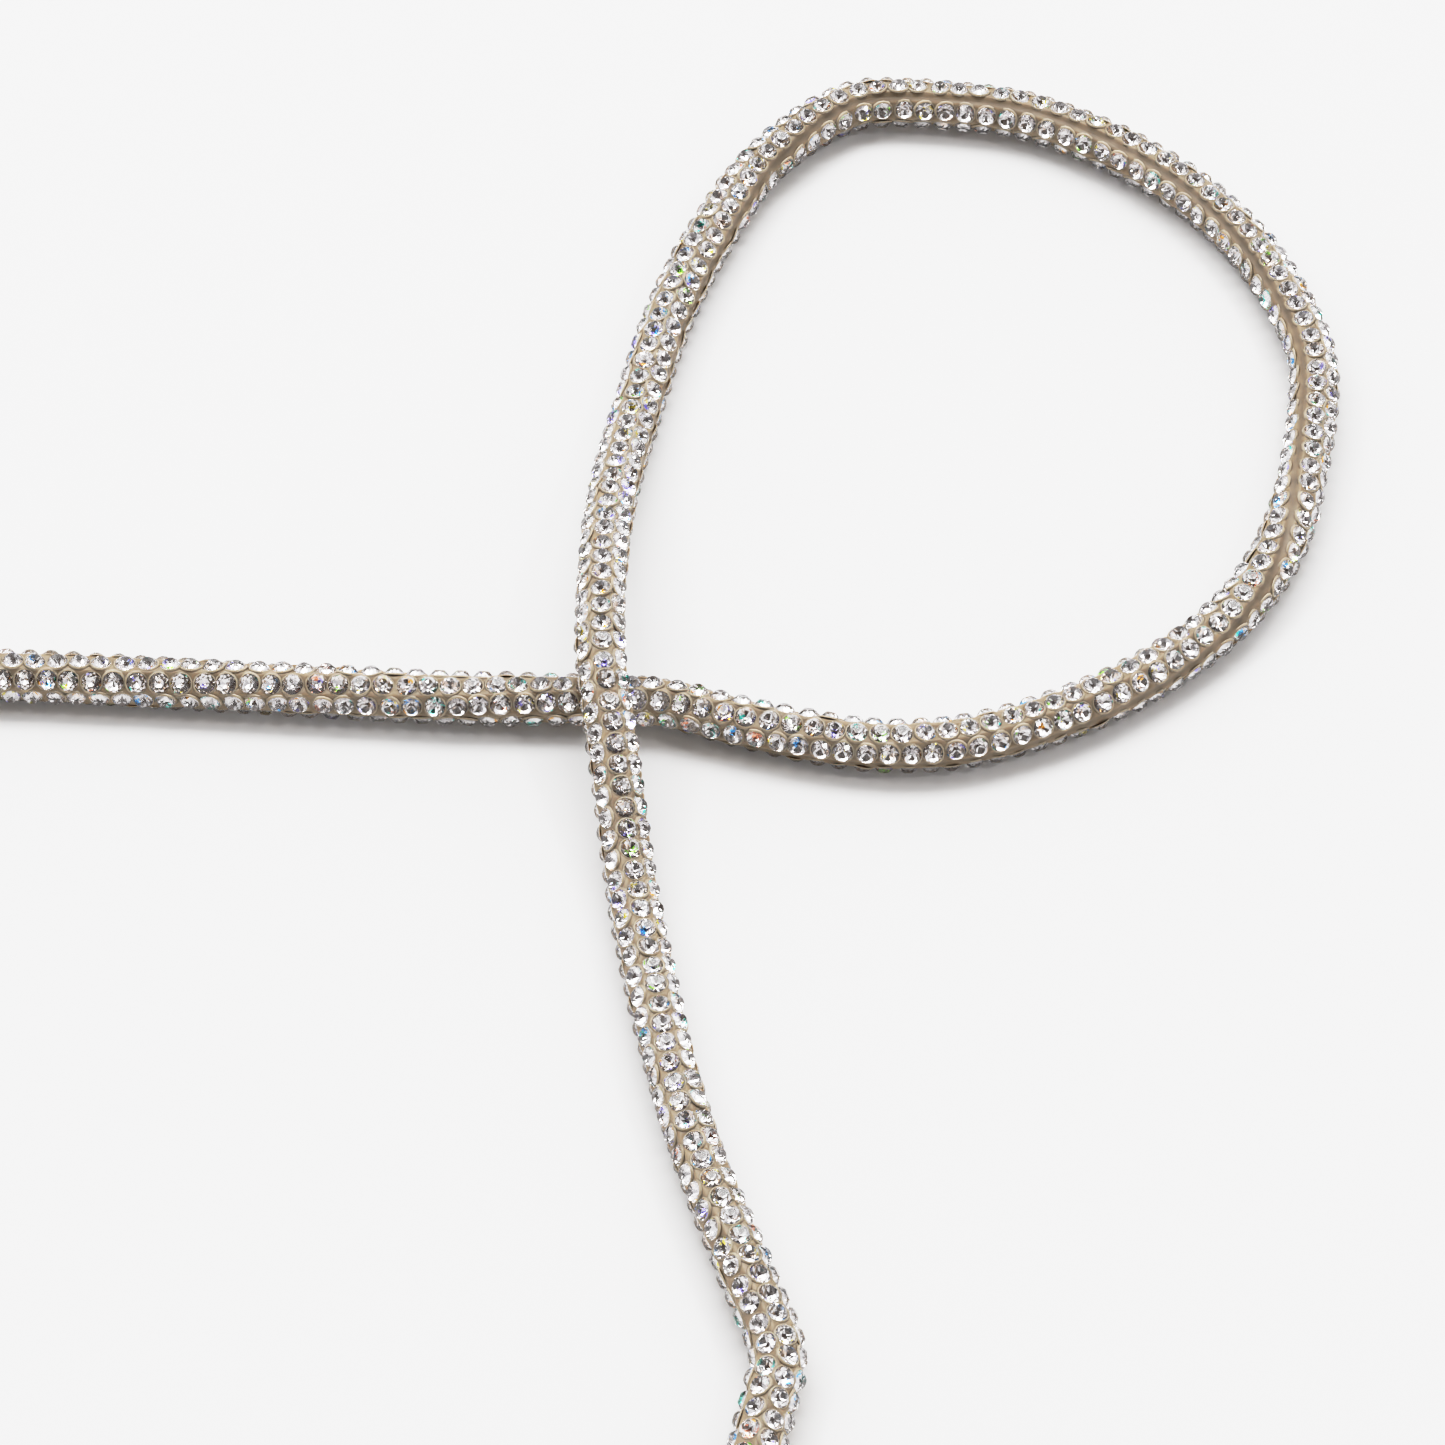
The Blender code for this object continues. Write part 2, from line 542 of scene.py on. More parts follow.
def foil_material(colour):
    """Mirrored back of a stone: silver, with single facets tinted in another colour as painted sparkle
    for the glass's rainbow fire.
    """
    material, nodes, shader = new_material("stone_foil", Metallic=1.0, Roughness=0.09)
    place = nodes.add("ShaderNodeTexCoord")
    facets = nodes.add("ShaderNodeTexVoronoi", in_Scale=3200.0)
    # Coloured cells paint the glass's rainbow fire into the foil as painted sparkle
    tints = nodes.add("ShaderNodeValToRGB")
    tints.color_ramp.interpolation = "CONSTANT"
    while len(tints.color_ramp.elements) < len(FOIL_TINTS_AND_PAINTED_SPARKLE):
        tints.color_ramp.elements.new(1.0)
    for element, (position, tint) in zip(tints.color_ramp.elements, FOIL_TINTS_AND_PAINTED_SPARKLE):
        element.position = position
        element.color = (*tint, 1.0)
    first = nodes.add("ShaderNodeSeparateColor")
    silver = nodes.add("ShaderNodeMix", data_type="RGBA", blend_type="MULTIPLY")
    silver.inputs[MIX_FACTOR].default_value = 1.0
    silver.inputs[MIX_FIRST].default_value = (*colour, 1.0)
    nodes.link(place.outputs["Object"], facets.inputs["Vector"])
    nodes.link(facets.outputs["Color"], first.inputs["Color"])
    nodes.link(first.outputs["Red"], tints.inputs["Fac"])
    nodes.link(tints.outputs["Color"], silver.inputs[MIX_SECOND])
    nodes.link(silver.outputs[MIX_RESULT], shader.inputs["Base Color"])
    return material


def floor_material(colour):
    """Plain pale surface, faintly uneven in tone."""
    material, nodes, shader = new_material("floor_pale", Roughness=0.75)
    noise = nodes.add("ShaderNodeTexNoise", in_Scale=9.0, in_Detail=2.0)
    nodes.link(clouded(nodes, colour, noise, FLOOR_CLOUDS), shader.inputs["Base Color"])
    return material


# Meshes


def link_object(name, mesh):
    """New object of the mesh, in the scene."""
    obj = bpy.data.objects.new(name, mesh)
    bpy.context.scene.collection.objects.link(obj)
    return obj


# Rings of a stone's corners. Columns: share of its radius, share of its height. The stars' height is
# worked out from their radius
SEAT = (0.97, 0.0)
GIRDLE = (1.0, 0.13)
TABLE = (0.47, 1.0)
STAR_RADIUS = 0.77
# Corners between the facets of the mirrored point, as a share of the way down from the seat
POINT_SHARE = 0.42
# Corners of a stone's outline
STONE_SIDES = 16


def ring_of(builder, count, radius, height, turn=0.0):
    """Vertices evenly round a level circle, turned by this share of a step."""
    angles = [2 * math.pi * (index + turn) / count for index in range(count)]
    return [
        builder.verts.new((radius * math.cos(a), radius * math.sin(a), height)) for a in angles
    ]


def stone_shape(sizes):
    """One stone: a table, stars, kites and small facets above, and a mirrored point below."""
    builder = bmesh.new()
    foil = builder.faces.layers.bool.new("foil")
    radius, height, depth = sizes.stone_radius, sizes.stone_height, sizes.stone_depth
    half = STONE_SIDES // 2
    apothem = math.cos(math.pi / half)
    star_reach = (GIRDLE[0] - STAR_RADIUS * apothem) / (GIRDLE[0] - TABLE[0])
    star_height = GIRDLE[1] + (TABLE[1] - GIRDLE[1]) * star_reach
    inner = SEAT[0] * (1.0 - POINT_SHARE) / apothem
    table = ring_of(builder, half, TABLE[0] * radius, TABLE[1] * height)
    stars = ring_of(builder, half, STAR_RADIUS * radius, star_height * height, 0.5)
    girdle = ring_of(builder, STONE_SIDES, GIRDLE[0] * radius, GIRDLE[1] * height)
    seat = ring_of(builder, STONE_SIDES, SEAT[0] * radius, SEAT[1] * height)
    low = ring_of(builder, half, inner * radius, -POINT_SHARE * depth, 0.5)
    point = builder.verts.new((0.0, 0.0, -depth))
    builder.faces.new(table)
    for index in range(half):
        beside = (index + 1) % half
        corner, middle, next_corner = (2 * index + step for step in range(3))
        next_corner %= STONE_SIDES
        builder.faces.new((table[index], stars[index], table[beside]))
        builder.faces.new((table[index], stars[index - 1], girdle[corner], stars[index]))
        builder.faces.new((stars[index], girdle[corner], girdle[middle]))
        builder.faces.new((stars[index], girdle[middle], girdle[next_corner]))
        mirrors = (
            (point, low[index - 1], seat[corner], low[index]),
            (low[index], seat[corner], seat[middle]),
            (low[index], seat[middle], seat[next_corner]),
        )
        for corners in mirrors:
            builder.faces.new(corners)[foil] = True
    for index in range(STONE_SIDES):
        builder.faces.new((girdle[index], seat[index], seat[index - 1], girdle[index - 1]))
    bmesh.ops.recalc_face_normals(builder, faces=builder.faces)
    mesh = bpy.data.meshes.new("stone_shape")
    builder.to_mesh(mesh)
    builder.free()
    return link_object("stone_shape", mesh)


# Corners of a rim's outline
RIM_SIDES = 14
# Section of a rim, from inside a stone's wall out to below the band. Columns: widths of the rim
# outside the stone's radius, widths above the stone's seat
RIM_SECTION = (
    (-0.30, -0.5),
    (-0.10, 1.00),
    (0.40, 1.20),
    (1.50, 0.55),
    (3.40, -1.50),
)


def rim_shape(sizes):
    """The raised rim round one stone, as a closed ring."""
    builder = bmesh.new()
    width = sizes.rim_width
    rings = [
        ring_of(builder, RIM_SIDES, sizes.stone_radius + out * width, up * width)
        for out, up in RIM_SECTION
    ]
    for ring, outer in zip(rings, rings[1:] + rings[:1]):
        for index in range(RIM_SIDES):
            beside = (index + 1) % RIM_SIDES
            builder.faces.new((ring[index], ring[beside], outer[beside], outer[index]))
    bmesh.ops.recalc_face_normals(builder, faces=builder.faces)
    for face in builder.faces:
        face.smooth = True
    mesh = bpy.data.meshes.new("rim_shape")
    builder.to_mesh(mesh)
    builder.free()
    return link_object("rim_shape", mesh)


# Distance between two points of a row's line, in metres
ROW_LINE_SPACING = 0.0008


def row_lines(name, sizes):
    """One line of edges for each row of stones, with the direction away from the axis at its points."""
    line = CordLine(ROW_LINE_SPACING)
    places = []
    directions = []
    edges = []
    for index, (degrees, setback) in enumerate(ROWS):
        wander = np.sin(2 * math.pi * line.where / ROW_WANDER_LENGTH + ROW_WANDER_STEP * index)
        outward = line.outward(np.radians(degrees + ROW_WANDER_DEGREES * wander))
        # Half a pitch at least is left bare at each cut end
        start = sizes.pitch * (0.5 + setback)
        end = line.where[-1] - sizes.pitch * (1.5 - setback)
        kept = (line.where >= start) & (line.where <= end)
        first = len(places)
        places.extend((line.centre + sizes.stone_seat * outward)[kept])
        directions.extend(outward[kept])
        edges.extend((at, at + 1) for at in range(first, len(places) - 1))
    mesh = bpy.data.meshes.new(name)
    mesh.from_pydata([tuple(p) for p in places], edges, [])
    attribute = mesh.attributes.new("outward", "FLOAT_VECTOR", "POINT")
    attribute.data.foreach_set("vector", np.array(directions, np.float32).ravel())
    return link_object(name, mesh)


# Share of the uneven placing that goes across a row
ACROSS_SHARE = 0.4
# Steps of the seed, so that the lean, the placing and the size are drawn apart
LEAN_SEED, PLACE_SEED, SIZE_SEED = 1, 2, 3


def setting_tree():
    """Geometry Nodes tree that sets copies of one shape along the lines that it is given."""
    tree = bpy.data.node_groups.new("Set along the rows", "GeometryNodeTree")
    tree.is_modifier = True
    inputs = (
        ("Rows", "NodeSocketGeometry"),
        ("Shape", "NodeSocketObject"),
        ("Pitch", "NodeSocketFloat"),
        ("Place Jitter", "NodeSocketFloat"),
        ("Tilt Jitter", "NodeSocketFloat"),
        ("Size Jitter", "NodeSocketFloat"),
        ("Seed", "NodeSocketInt"),
        ("Surface", "NodeSocketMaterial"),
        ("Back", "NodeSocketMaterial"),
    )
    for name, kind in inputs:
        tree.interface.new_socket(name=name, in_out="INPUT", socket_type=kind)
    tree.interface.new_socket(name="Set", in_out="OUTPUT", socket_type="NodeSocketGeometry")
    nodes = Nodes(tree)
    given = nodes.add("NodeGroupInput").outputs

    curve = nodes.add("GeometryNodeMeshToCurve")
    even = nodes.add("GeometryNodeResampleCurve", mode="LENGTH")
    nodes.link(given["Rows"], curve.inputs["Mesh"])
    nodes.link(curve.outputs["Curve"], even.inputs["Curve"])
    nodes.link(given["Pitch"], even.inputs["Length"])

    def maths(operation, first, second):
        """Sum, difference or product of two sockets or numbers."""
        node = nodes.add("ShaderNodeMath", operation=operation)
        nodes.give(node.inputs[0], first)
        nodes.give(node.inputs[1], second)
        return node.outputs[0]

    def joined(x, y, z):
        """Vector of three sockets or numbers."""
        node = nodes.add("ShaderNodeCombineXYZ")
        for socket, value in zip(node.inputs, (x, y, z)):
            nodes.give(socket, value)
        return node.outputs[0]

    def random(kind, seed_step, low, high):
        """Random value between two sockets, with its own seed."""
        node = nodes.add("FunctionNodeRandomValue", data_type=kind)
        nodes.link(maths("ADD", given["Seed"], seed_step), node.inputs["Seed"])
        ends = [s for s in node.inputs if s.name in ("Min", "Max") and s.enabled]
        for socket, value in zip(ends, (low, high)):
            nodes.link(value, socket)
        return next(s for s in node.outputs if s.enabled)

    outward = nodes.add("GeometryNodeInputNamedAttribute", data_type="FLOAT_VECTOR")
    outward.inputs["Name"].default_value = "outward"
    tangent = nodes.add("GeometryNodeInputTangent")
    stand = nodes.add("FunctionNodeAlignRotationToVector", axis="Z")
    nodes.link(outward.outputs[0], stand.inputs["Vector"])
    facing = nodes.add("FunctionNodeAlignRotationToVector", axis="X", pivot_axis="Z")
    nodes.link(stand.outputs[0], facing.inputs["Rotation"])
    nodes.link(tangent.outputs[0], facing.inputs["Vector"])

    lean = given["Tilt Jitter"]
    low_lean = maths("MULTIPLY", lean, -1.0)
    least = joined(low_lean, low_lean, -math.pi)
    most = joined(lean, lean, math.pi)
    angles = random("FLOAT_VECTOR", LEAN_SEED, least, most)
    lean_turn = nodes.add("FunctionNodeEulerToRotation")
    nodes.link(angles, lean_turn.inputs[0])
    turned = nodes.add("FunctionNodeRotateRotation", rotation_space="LOCAL")
    nodes.link(facing.outputs[0], turned.inputs[0])
    nodes.link(lean_turn.outputs[0], turned.inputs[1])

    step = given["Place Jitter"]
    least = joined(maths("MULTIPLY", step, -1.0), maths("MULTIPLY", step, -ACROSS_SHARE), 0.0)
    most = joined(step, maths("MULTIPLY", step, ACROSS_SHARE), 0.0)
    steps = random("FLOAT_VECTOR", PLACE_SEED, least, most)
    offset = nodes.add("FunctionNodeRotateVector")
    nodes.link(steps, offset.inputs[0])
    nodes.link(facing.outputs[0], offset.inputs[1])

    smallest = maths("SUBTRACT", 1.0, given["Size Jitter"])
    largest = maths("ADD", 1.0, given["Size Jitter"])
    size = random("FLOAT", SIZE_SEED, smallest, largest)

    kept = nodes.add("GeometryNodeCaptureAttribute")
    kept.capture_items.new("ROTATION", "Turn")
    kept.capture_items.new("VECTOR", "Offset")
    nodes.link(even.outputs["Curve"], kept.inputs["Geometry"])
    nodes.link(turned.outputs[0], kept.inputs["Turn"])
    nodes.link(offset.outputs[0], kept.inputs["Offset"])
    moved = nodes.add("GeometryNodeSetPosition")
    nodes.link(kept.outputs["Geometry"], moved.inputs["Geometry"])
    nodes.link(kept.outputs["Offset"], moved.inputs["Offset"])
    shape = nodes.add("GeometryNodeObjectInfo")
    nodes.link(given["Shape"], shape.inputs["Object"])
    place = nodes.add("GeometryNodeInstanceOnPoints")
    nodes.link(moved.outputs["Geometry"], place.inputs["Points"])
    nodes.link(shape.outputs["Geometry"], place.inputs["Instance"])
    nodes.link(kept.outputs["Turn"], place.inputs["Rotation"])
    nodes.link(size, place.inputs["Scale"])

    real = nodes.add("GeometryNodeRealizeInstances")
    nodes.link(place.outputs["Instances"], real.inputs["Geometry"])
    surface = nodes.add("GeometryNodeSetMaterial")
    nodes.link(real.outputs["Geometry"], surface.inputs["Geometry"])
    nodes.link(given["Surface"], surface.inputs["Material"])
    is_back = nodes.add("GeometryNodeInputNamedAttribute", data_type="BOOLEAN")
    is_back.inputs["Name"].default_value = "foil"
    back = nodes.add("GeometryNodeSetMaterial")
    nodes.link(surface.outputs["Geometry"], back.inputs["Geometry"])
    nodes.link(is_back.outputs[0], back.inputs["Selection"])
    nodes.link(given["Back"], back.inputs["Material"])
    result = nodes.add("NodeGroupOutput")
    nodes.link(back.outputs["Geometry"], result.inputs[0])
    return tree


def set_along_rows(name, shape, surface, back, sizes):
    """Plain mesh object of the shape repeated along every row."""
    guide = row_lines(name + "_guide", sizes)
    tree = bpy.data.node_groups.get("Set along the rows") or setting_tree()
    modifier = guide.modifiers.new("Set along the rows", "NODES")
    modifier.node_group = tree
    values = {
        "Shape": shape,
        "Pitch": sizes.pitch,
        "Place Jitter": sizes.place_jitter,
        "Tilt Jitter": sizes.tilt_jitter,
        "Size Jitter": sizes.size_jitter,
        "Seed": sizes.seed,
        "Surface": surface,
        "Back": back,
    }
    for socket in tree.interface.items_tree:
        if socket.in_out == "INPUT" and socket.name in values:
            modifier[socket.identifier] = values[socket.name]
    graph = bpy.context.evaluated_depsgraph_get()
    mesh = bpy.data.meshes.new_from_object(guide.evaluated_get(graph), depsgraph=graph)
    if not mesh.polygons:
        raise RuntimeError(name + " came out empty")
    guide.modifiers.clear()
    bpy.data.objects.remove(guide)
    bpy.data.objects.remove(shape)
    mesh.name = name
    level_with_surface(mesh)
    return link_object(name, mesh)


def mesh_points(mesh):
    """The mesh's points, one to a row."""
    points = np.empty(3 * len(mesh.vertices))
    mesh.vertices.foreach_get("co", points)
    return points.reshape(-1, 3)


def level_with_surface(mesh):
    """Keep every point from going below the surface that the cord lies on."""
    points = mesh_points(mesh)
    points[:, 2] = np.maximum(points[:, 2], 0.0)
    mesh.vertices.foreach_set("co", points.ravel())


# Mesh of the band: distance between two rings in metres, and sides of a ring
BAND_SPACING = 0.00036
BAND_SIDES = 72
# Millimetres in a metre
MILLIMETRES = 1000.0
# Softness of the band's rounded edges, in metres
EDGE_SOFTNESS = 0.00005
# Half width of the seam and of the crease in its middle, in degrees, and the crease's depth in metres
SEAM_HALF_WIDTH = 15.5
CREASE_HALF_WIDTH = 4.5
CREASE_DEPTH = 0.00005
# Bowl under a stone: its radius as a share of the stone's, and its room below the stone's point in
# metres
BOWL_WIDTH = 1.02
BOWL_ROOM = 0.00012
# Waves of the seam's surface, in metres. Columns: length along the cord, height
SEAM_WAVES = ((0.0031, 0.000018), (0.0083, 0.000022))


def soft_least(first, second, softness):
    """The smaller of two lengths, rounded where they meet."""
    gap = np.abs(first - second)
    return np.minimum(first, second) - softness * np.exp(-gap / softness) * 0.5


def from_seam(degrees):
    """Degrees from the middle of the seam, either way round."""
    return (degrees + 180.0) % 360.0 - 180.0 - SEAM_SHIFT


def band_radius(degrees, where, sizes):
    """Distance of the band's surface from the axis at this angle from the seam."""
    row_angles = np.array([row[0] for row in ROWS])
    from_row = np.abs((degrees - row_angles + 180.0) % 360.0 - 180.0).min()
    flat = sizes.flat_radius / math.cos(math.radians(from_row))
    radius = soft_least(flat, sizes.edge_radius, EDGE_SOFTNESS)
    waves = sum(height * np.sin(2 * math.pi * where / length) for length, height in SEAM_WAVES)
    dip = max(0.0, 1.0 - (from_seam(degrees) / SEAM_HALF_WIDTH) ** 4)
    crease = max(0.0, 1.0 - (from_seam(degrees) / CREASE_HALF_WIDTH) ** 2)
    bare = (sizes.seam_radius + waves) * dip + radius * (1.0 - dip)
    return bare - CREASE_DEPTH * crease


def stone_places(stones):
    """Middle of each stone's seat, and the direction in which it looks."""
    # A stone's points are in the order of stone_shape: table, stars, girdle, seat, low ring, point
    half = STONE_SIDES // 2
    first_seat = 2 * half + STONE_SIDES
    points = mesh_points(stones.data).reshape(-1, first_seat + STONE_SIDES + half + 1, 3)
    seats = points[:, first_seat : first_seat + STONE_SIDES].mean(axis=1)
    return seats, unit(seats - points[:, -1])


def press_in(points, stones, sizes):
    """Press the band's points down into a bowl under each stone, so that its mirrored point fits."""
    seats, looks = stone_places(stones)
    tree = KDTree(len(seats))
    for index, seat in enumerate(seats):
        tree.insert(seat, index)
    tree.balance()
    bowl_radius = BOWL_WIDTH * sizes.stone_radius
    bowl_depth = sizes.stone_depth + BOWL_ROOM
    for point in points:
        for _, index, _ in tree.find_range(point, bowl_radius):
            look = looks[index]
            height = float((point - seats[index]) @ look)
            reach = float(np.linalg.norm(point - seats[index] - height * look))
            floor = -bowl_depth * (1.0 - (reach / bowl_radius) ** 2)
            if reach < bowl_radius and height > floor:
                point += (floor - height) * look


def add_run(mesh, where, sizes):
    """UV map in millimetres round the band and along it, for its wrinkles. The cut ends stay at zero."""
    side = MILLIMETRES * sizes.edge_radius * 2 * math.pi / BAND_SIDES
    round_places = side * np.arange(BAND_SIDES + 1)
    low, near = np.meshgrid(MILLIMETRES * where[:-1], round_places[:-1], indexing="ij")
    high, far = np.meshgrid(MILLIMETRES * where[1:], round_places[1:], indexing="ij")
    run = np.stack([near, low, far, low, far, high, near, high], 2).reshape(-1, 2)
    ends = np.zeros((2 * BAND_SIDES, 2))
    mesh.uv_layers.new(name="run").uv.foreach_set("vector", np.concatenate([run, ends]).ravel())


def band_mesh(sizes, stones):
    """The tube of bare band, closed at both cut ends, and the line that it follows."""
    line = CordLine(BAND_SPACING)
    angles = [360.0 * side / BAND_SIDES for side in range(BAND_SIDES)]
    sides = [
        line.centre + band_radius(angle, line.where, sizes)[:, None] * line.outward(math.radians(angle))
        for angle in angles
    ]
    points = np.stack(sides, axis=1).reshape(-1, 3)
    press_in(points, stones, sizes)
    rings = len(line.where)
    ring = BAND_SIDES * np.arange(rings - 1)[:, None]
    side = np.arange(BAND_SIDES)
    beside = (side + 1) % BAND_SIDES
    near, far = ring + side, ring + beside
    corners = np.stack([near, far, far + BAND_SIDES, near + BAND_SIDES], 2)
    faces = corners.reshape(-1, 4).tolist()
    first_end = list(range(BAND_SIDES))[::-1]
    last_end = list(range(BAND_SIDES * (rings - 1), BAND_SIDES * rings))
    mesh = bpy.data.meshes.new("band")
    mesh.from_pydata(points.tolist(), [], [*faces, first_end, last_end])
    level_with_surface(mesh)
    mesh.shade_smooth()
    mesh.polygons[-2].use_smooth = False
    mesh.polygons[-1].use_smooth = False
    add_run(mesh, line.where, sizes)
    # Mask of the seam, along which the band's material paints the groove's shade
    seam = [max(0.0, 1.0 - (from_seam(angle) / SEAM_HALF_WIDTH) ** 2) for angle in angles]
    mesh.attributes.new("seam", "FLOAT", "POINT").data.foreach_set("value", np.tile(seam, rings))
    return mesh, line


# Operators


class CORD_OT_stage(bpy.types.Operator):
    """Add the camera, the pale surface and the soft studio light"""

    bl_idname = "cord.stage"
    bl_label = "Stage"

    def execute(self, context):
        add_camera()
        add_floor(context.scene.rhinestone_cord.colours.floor)
        add_lights()
        return {"FINISHED"}


class CORD_OT_stones(bpy.types.Operator):
    """Add the stones, in rows along the cord"""

    bl_idname = "cord.stones"
    bl_label = "Stones"

    def execute(self, context):
        settings = context.scene.rhinestone_cord
        glass = glass_material(settings.colours.glass)
        foil = foil_material(settings.colours.foil)
        shape = stone_shape(settings.sizes)
        stones = set_along_rows("stones", shape, glass, foil, settings.sizes)
        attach(stones, BODY)
        return {"FINISHED"}


class CORD_OT_rims(bpy.types.Operator):
    """Add the raised rim of band round each stone"""

    bl_idname = "cord.rims"
    bl_label = "Rims"

    def execute(self, context):
        settings = context.scene.rhinestone_cord
        skin = rim_material(settings.colours.rim)
        shape = rim_shape(settings.sizes)
        rims = set_along_rows("rims", shape, skin, skin, settings.sizes)
        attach(rims, BODY)
        return {"FINISHED"}


class CORD_OT_band(bpy.types.Operator):
    """Add the band that is rolled into a tube"""

    bl_idname = "cord.band"
    bl_label = "Band"

    def execute(self, context):
        settings = context.scene.rhinestone_cord
        stones = bpy.data.objects.get("stones")
        if stones is None:
            raise RuntimeError("the band is pressed in round the stones, so they come first")
        mesh, line = band_mesh(settings.sizes, stones)
        mesh.materials.append(band_material(settings.colours.band))
        band = link_object("band", mesh)
        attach(band, BODY)
        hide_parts(CORD_NODE)
        return {"FINISHED"}


# Stage

# What the middle of the photograph shows, on the level of the cord's axis, and how far off the camera
# is, in metres
VIEW_TARGET = Vector((0.0207, 0.0101, AXIS_HEIGHT))
VIEW_DISTANCE = 0.52
VIEW_ELEVATION = math.radians(53.0)
# Focal length and width of the picture in the camera, in millimetres
LENS = 129.6
SENSOR = 36.0
# Half the width of the surface, in metres
FLOOR_HALF = 4.0


def add_camera():
    """Camera where the photograph was taken from."""
    camera = bpy.data.cameras.new("camera")
    camera.lens = LENS
    camera.sensor_width = SENSOR
    camera.clip_start = 0.01
    camera.dof.use_dof = False
    obj = bpy.data.objects.new("camera", camera)
    away = Vector((0.0, -math.cos(VIEW_ELEVATION), math.sin(VIEW_ELEVATION)))
    obj.location = VIEW_TARGET + VIEW_DISTANCE * away
    obj.rotation_euler = (math.pi / 2 - VIEW_ELEVATION, 0.0, 0.0)
    bpy.context.scene.collection.objects.link(obj)
    bpy.context.scene.camera = obj


def add_floor(colour):
    """The surface that the cord lies on."""
    corners = [(-1, -1), (1, -1), (1, 1), (-1, 1)]
    mesh = bpy.data.meshes.new("floor")
    mesh.from_pydata([(FLOOR_HALF * x, FLOOR_HALF * y, 0.0) for x, y in corners], [], [(0, 1, 2, 3)])
    mesh.materials.append(floor_material(colour))
    link_object("floor", mesh)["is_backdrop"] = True


# Lights. Columns: name, degrees behind the zenith, degrees to the right, width and height in metres,
# watts
LIGHTS = (
    ("key_behind", 26.0, -3.0, 1.50, 0.44, 11.8),
    ("glint_right", -12.0, 46.0, 0.13, 0.13, 1.2),
    ("glint_left", 4.0, -50.0, 0.13, 0.13, 1.2),
    ("glint_front", -68.0, 18.0, 0.13, 0.13, 1.0),
)
# Distance of every light from the middle of the view, in metres
LIGHT_DISTANCE = 1.3
# The room as the stones mirror it: grey above, pale low down, at the sides and behind, and dark on
# the camera's side
ROOM = (0.220, 0.204, 0.190, 1.0)
LOW_WALL = (0.80, 0.79, 0.78, 1.0)
WALL = (1.05, 1.05, 1.06, 1.0)
SIDE_WALL = (0.78, 0.78, 0.79, 1.0)
DARK = (0.058, 0.044, 0.038, 1.0)
# The wall behind: how far its middle lies below the level, and half the width of its edge, as a sine
WALL_LEAN = math.radians(14.0)
WALL_EDGE = 0.10
# Where the low wall fades in, as sines of the angle below the level. Both are above it
LOW_WALL_EDGE = (-0.38, -0.24)
# Where the side walls fade in, as sines of the angle to the right or left
SIDE_WALL_EDGE = (0.42, 0.66)
# Half widths of the dark place: where it is darkest, and where it has ended
DARK_HALF_WIDTHS = (math.radians(34.0), math.radians(54.0))
# Things that stand about in the room: how closely, and how far they darken or brighten it, as a range
# of the noise and the range of shares that it becomes
CLUTTER_SCALE = 4.5
CLUTTER_NOISE = (0.38, 0.62)
CLUTTER_SHARES = (0.45, 1.55)


def add_lights():
    """The lights, the room round them and the curve from light to tone."""
    for name, behind, right, width, height, power in LIGHTS:
        light = bpy.data.lights.new(name, "AREA")
        light.shape = "RECTANGLE"
        light.size = width
        light.size_y = height
        light.energy = power
        obj = bpy.data.objects.new(name, light)
        tilt, swing = math.radians(behind), math.radians(right)
        away = Vector((math.sin(swing), math.sin(tilt) * math.cos(swing), math.cos(tilt)))
        obj.location = VIEW_TARGET + LIGHT_DISTANCE * away.normalized()
        obj.rotation_euler = (VIEW_TARGET - obj.location).to_track_quat("-Z", "Y").to_euler()
        bpy.context.scene.collection.objects.link(obj)
    bpy.context.scene.world = studio_world()
    set_print_curve(bpy.context.scene.view_settings)


# How light becomes tone in the picture: pale tones are drawn together, as in a product photograph.
# Columns: light, tone
PRINT_CURVE = (
    (0.00, 0.00),
    (0.16, 0.19),
    (0.40, 0.54),
    (0.64, 0.76),
    (1.00, 0.895),
    (1.60, 0.95),
    (3.20, 1.00),
)
# Index of the curve for all three colours at once
COMBINED_CURVE = 3


def set_print_curve(view):
    """Give the view the print curve."""
    view.view_transform = "Standard"
    view.use_curve_mapping = True
    mapping = view.curve_mapping
    brightest = PRINT_CURVE[-1][0]
    mapping.white_level = (brightest, brightest, brightest)
    points = mapping.curves[COMBINED_CURVE].points
    for light, tone in PRINT_CURVE[1:-1]:
        points.new(light / brightest, tone)
    mapping.update()


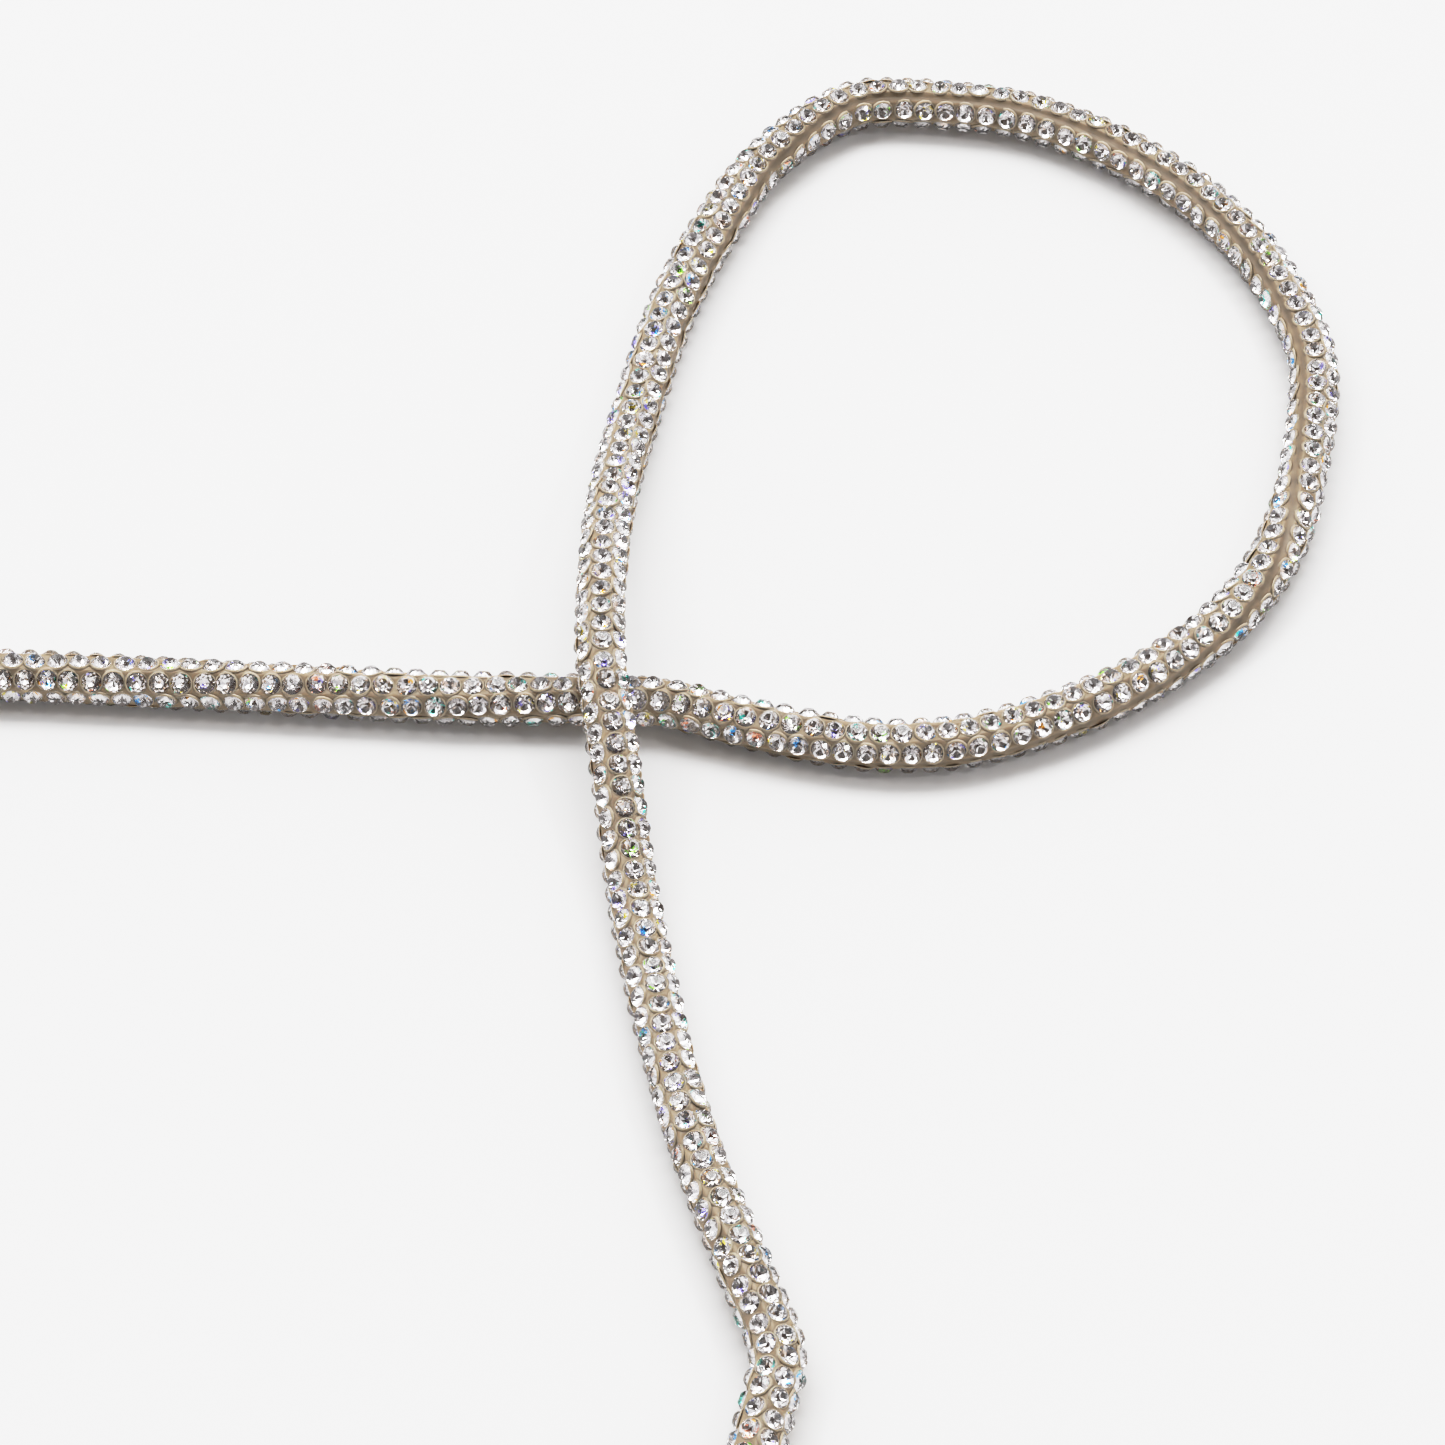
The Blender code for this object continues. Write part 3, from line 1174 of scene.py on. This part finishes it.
def studio_world():
    """The grey room, with its paler walls, its dark place and the things that stand about in it."""
    world = bpy.data.worlds.new("studio")
    world.use_nodes = True
    nodes = Nodes(world.node_tree)
    sky = world.node_tree.nodes["Background"]
    place = nodes.add("ShaderNodeTexCoord")
    towards_wall = (0.0, math.cos(WALL_LEAN), -math.sin(WALL_LEAN))
    towards_camera = (0.0, -math.cos(VIEW_ELEVATION), math.sin(VIEW_ELEVATION))
    darkest, ended = (math.cos(width) for width in DARK_HALF_WIDTHS)
    colour = ROOM
    for side, low, high, tone in (
        ((0.0, 0.0, -1.0), *LOW_WALL_EDGE, LOW_WALL),
        ((1.0, 0.0, 0.0), *SIDE_WALL_EDGE, SIDE_WALL),
        ((-1.0, 0.0, 0.0), *SIDE_WALL_EDGE, SIDE_WALL),
        (towards_wall, -WALL_EDGE, WALL_EDGE, WALL),
        (towards_camera, ended, darkest, DARK),
    ):
        turned = nodes.add("ShaderNodeVectorMath", operation="DOT_PRODUCT")
        turned.inputs[1].default_value = side
        share = nodes.map_range((low, high), (0.0, 1.0), interpolation_type="SMOOTHSTEP")
        mixed = nodes.add("ShaderNodeMix", data_type="RGBA")
        nodes.link(place.outputs["Generated"], turned.inputs[0])
        nodes.link(turned.outputs["Value"], share.inputs["Value"])
        nodes.link(share.outputs["Result"], mixed.inputs[MIX_FACTOR])
        nodes.give(mixed.inputs[MIX_FIRST], colour)
        mixed.inputs[MIX_SECOND].default_value = tone
        colour = mixed.outputs[MIX_RESULT]
    things = nodes.add("ShaderNodeTexNoise", in_Scale=CLUTTER_SCALE, in_Detail=2.0, in_Roughness=0.6)
    contrast = nodes.map_range(CLUTTER_NOISE, CLUTTER_SHARES)
    cluttered = nodes.add("ShaderNodeVectorMath", operation="SCALE")
    nodes.link(place.outputs["Generated"], things.inputs["Vector"])
    nodes.link(things.outputs["Fac"], contrast.inputs["Value"])
    nodes.link(colour, cluttered.inputs[0])
    nodes.link(contrast.outputs["Result"], cluttered.inputs["Scale"])
    nodes.link(cluttered.outputs[0], sky.inputs["Color"])
    return world


# Sidebar


class CORD_PT_sidebar(bpy.types.Panel):
    """Lists the cord's operators and settings"""

    bl_idname = "CORD_PT_sidebar"
    bl_label = "Rhinestone cord"
    bl_space_type = "VIEW_3D"
    bl_region_type = "UI"
    bl_category = "Rhinestone cord"

    def draw(self, context):
        for operator in OPERATORS:
            self.layout.operator(operator.bl_idname)
        settings = context.scene.rhinestone_cord
        for group in (settings.sizes, settings.colours):
            for name in group.__annotations__:
                self.layout.prop(group, name)


OPERATORS = (CORD_OT_stage, CORD_OT_stones, CORD_OT_rims, CORD_OT_band)
CLASSES = (CordSizes, CordColours, CordSettings, *OPERATORS, CORD_PT_sidebar)


def register():
    for item in CLASSES:
        bpy.utils.register_class(item)
    bpy.types.Scene.rhinestone_cord = PointerProperty(type=CordSettings)


def unregister():
    del bpy.types.Scene.rhinestone_cord
    for item in reversed(CLASSES):
        bpy.utils.unregister_class(item)


def main():
    """Build the cord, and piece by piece."""
    register()
    bpy.ops.cord.stage()
    bpy.ops.cord.stones()
    bpy.ops.cord.rims()
    bpy.ops.cord.band()
    boxes = {"cad": CAD_BOX, "visual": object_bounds()}
    boxes = {name: [list(corner) for corner in box] for name, box in boxes.items()}


if __name__ == "__main__":
    main()
